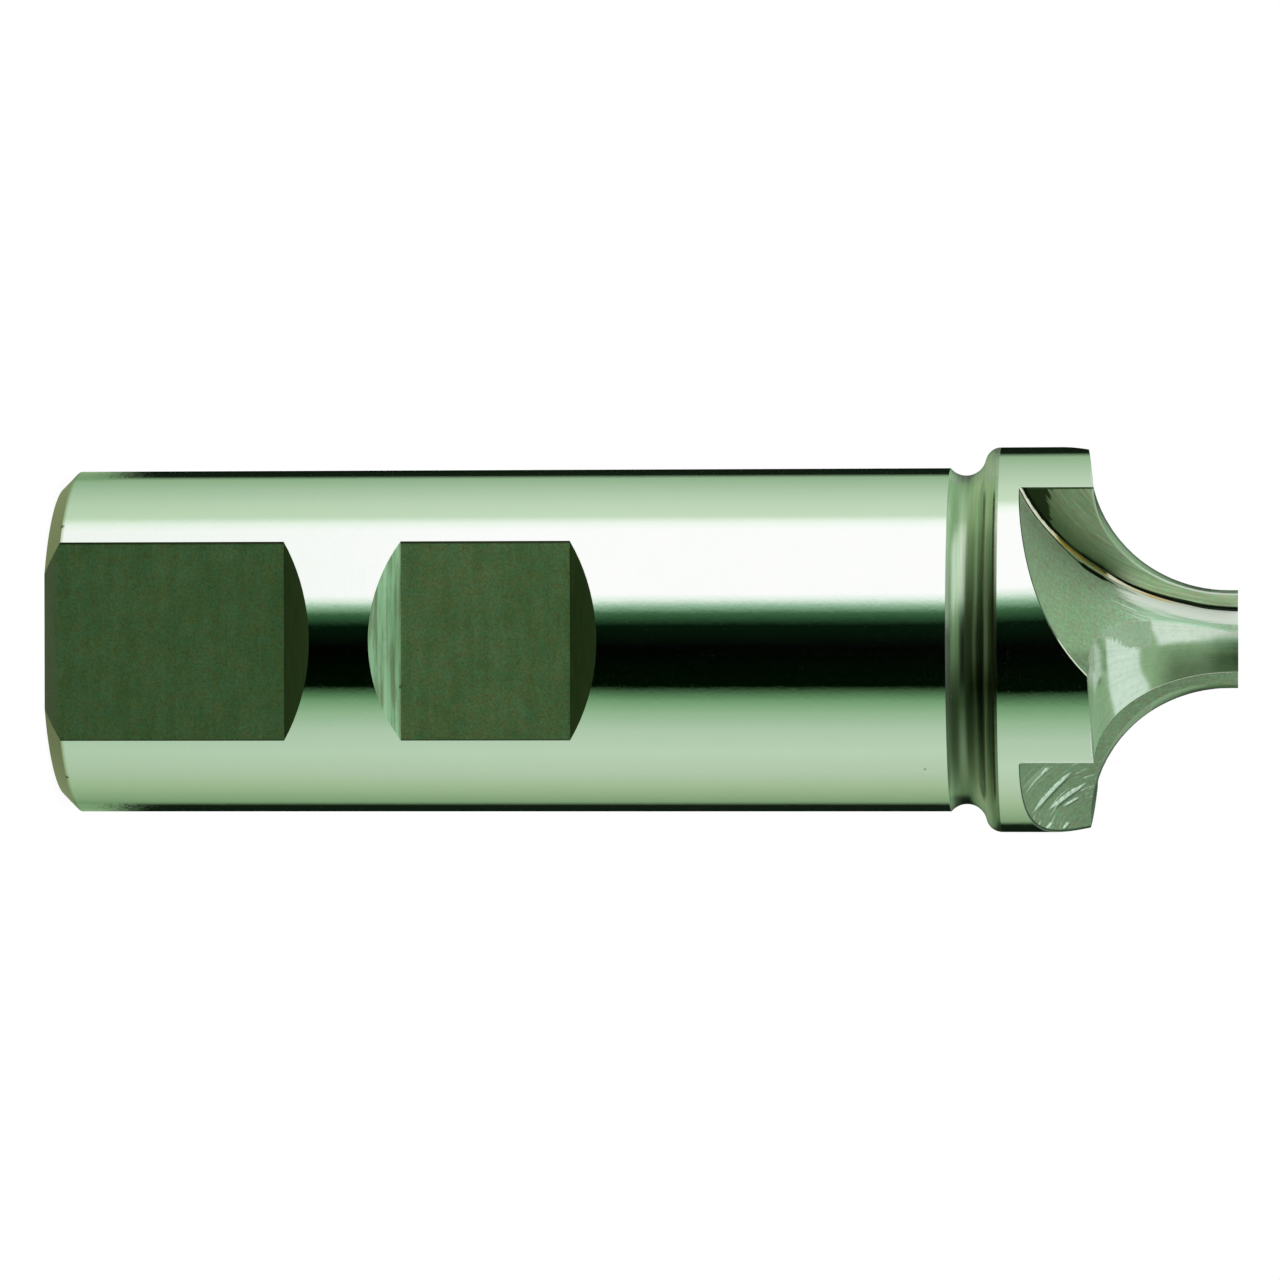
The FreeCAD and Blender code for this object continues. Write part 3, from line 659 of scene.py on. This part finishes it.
wall_line = g.times(g.band(wall_line, -1, 1, 0.8), g.fade(z, 77.2, 76.6))
# Painted dark reflections along both sides of the root's line
root_dark_reflections = g.times(in_flute, g.either(rake_line, wall_line))
colour = g.mix(root_dark_reflections, colour, (0.02, 0.03, 0.02))

# The nicks
for *centre, radius in NICKS:
    apart = g.node("ShaderNodeVectorMath", operation="DISTANCE")
    g.link(place, apart.inputs[0])
    apart.inputs[1].default_value = centre
    away = g.add(apart.outputs["Value"], g.times(grains, 0.2))
    colour = g.mix(g.fade(away, radius + 0.24, radius), colour, (0.10, 0.09, 0.05))

# How much of it is bare metal: the flute wall and the rake face near the tip are dull
metal = g.spread(painted_edge_glints, 1, 0.3)
metal = g.mix_value(wall, metal, g.spread(pale_streaks_and_painted_light, 0.4, 0.02))
metal = g.mix_value(g.times(rake, g.fade(z, 76, 82)), metal, 0.5)
metal = g.mix_value(root_tint_and_highlight, metal, g.spread(g.band(z, 73, 76.2, 0.4), 0.15, 1))
metal = g.mix_value(root_dark_reflections, metal, 1)
dull_neck = g.either(g.times(neck_edge_highlight, 0.5), g.times(g.fade(x, -10.9, -11.8), 0.4))
metal = g.less(metal, g.times(neck, dull_neck))

# Roughness
rough = g.add(g.spread(round_marks, 0.02, 0.06), g.times(g.fade(specks, 0.62, 0.74), 0.22))
relief_rough = g.add(g.spread(relief_marks, 0.1, 0.17), g.times(g.fade(z, 82, 85), 0.2))
rough = g.mix_value(teeth, rough, relief_rough)
rough = g.mix_value(wall, rough, g.spread(grains, 0.24, 0.42))
rough = g.mix_value(rake, rough, g.spread(rake_marks, 0.14, 0.34))
rough = g.mix_value(root_tint_and_highlight, rough, 0.14)
rough = g.mix_value(on_flats, rough, g.spread(specks, 0.32, 0.48))
rough = g.mix_value(ramps, rough, g.spread(cross_marks, 0.3, 0.45))
rough = g.mix_value(turned_end, rough, g.spread(grains, 0.34, 0.46))
rough = g.mix_value(neck, rough, g.spread(turned_marks, 0.2, 0.3))

# Height of the marks, in micrometres
MICROMETRE = 0.000001
height = g.add(g.times(grains, 1.5), g.times(ripples, 3))
height = g.mix_value(teeth, height, 0)
height = g.mix_value(wall, height, g.times(grains, 3))
height = g.mix_value(rake, height, g.times(rake_marks, 3))
height = g.mix_value(on_flats, height, g.times(specks, 3))
height = g.mix_value(ramps, height, g.times(cross_marks, 14))
height = g.mix_value(turned_end, height, g.times(grains, 3))
neck_height = g.times(turned_marks, g.spread(g.fade(z, 66, 67), 0.7, 1.8))
height = g.mix_value(neck, height, neck_height)
bump = g.node("ShaderNodeBump")
bump.inputs["Distance"].default_value = MICROMETRE
g.link(height, bump.inputs["Height"])

shader = g.node("ShaderNodeBsdfPrincipled")
g.link(metal, shader.inputs["Metallic"])
g.link(colour, shader.inputs["Base Color"])
g.link(rough, shader.inputs["Roughness"])
g.link(bump.outputs[0], shader.inputs["Normal"])
g.link(shader.outputs[0], g.node("ShaderNodeOutputMaterial").inputs[0])
for slot in tool.material_slots:
    slot.material = steel
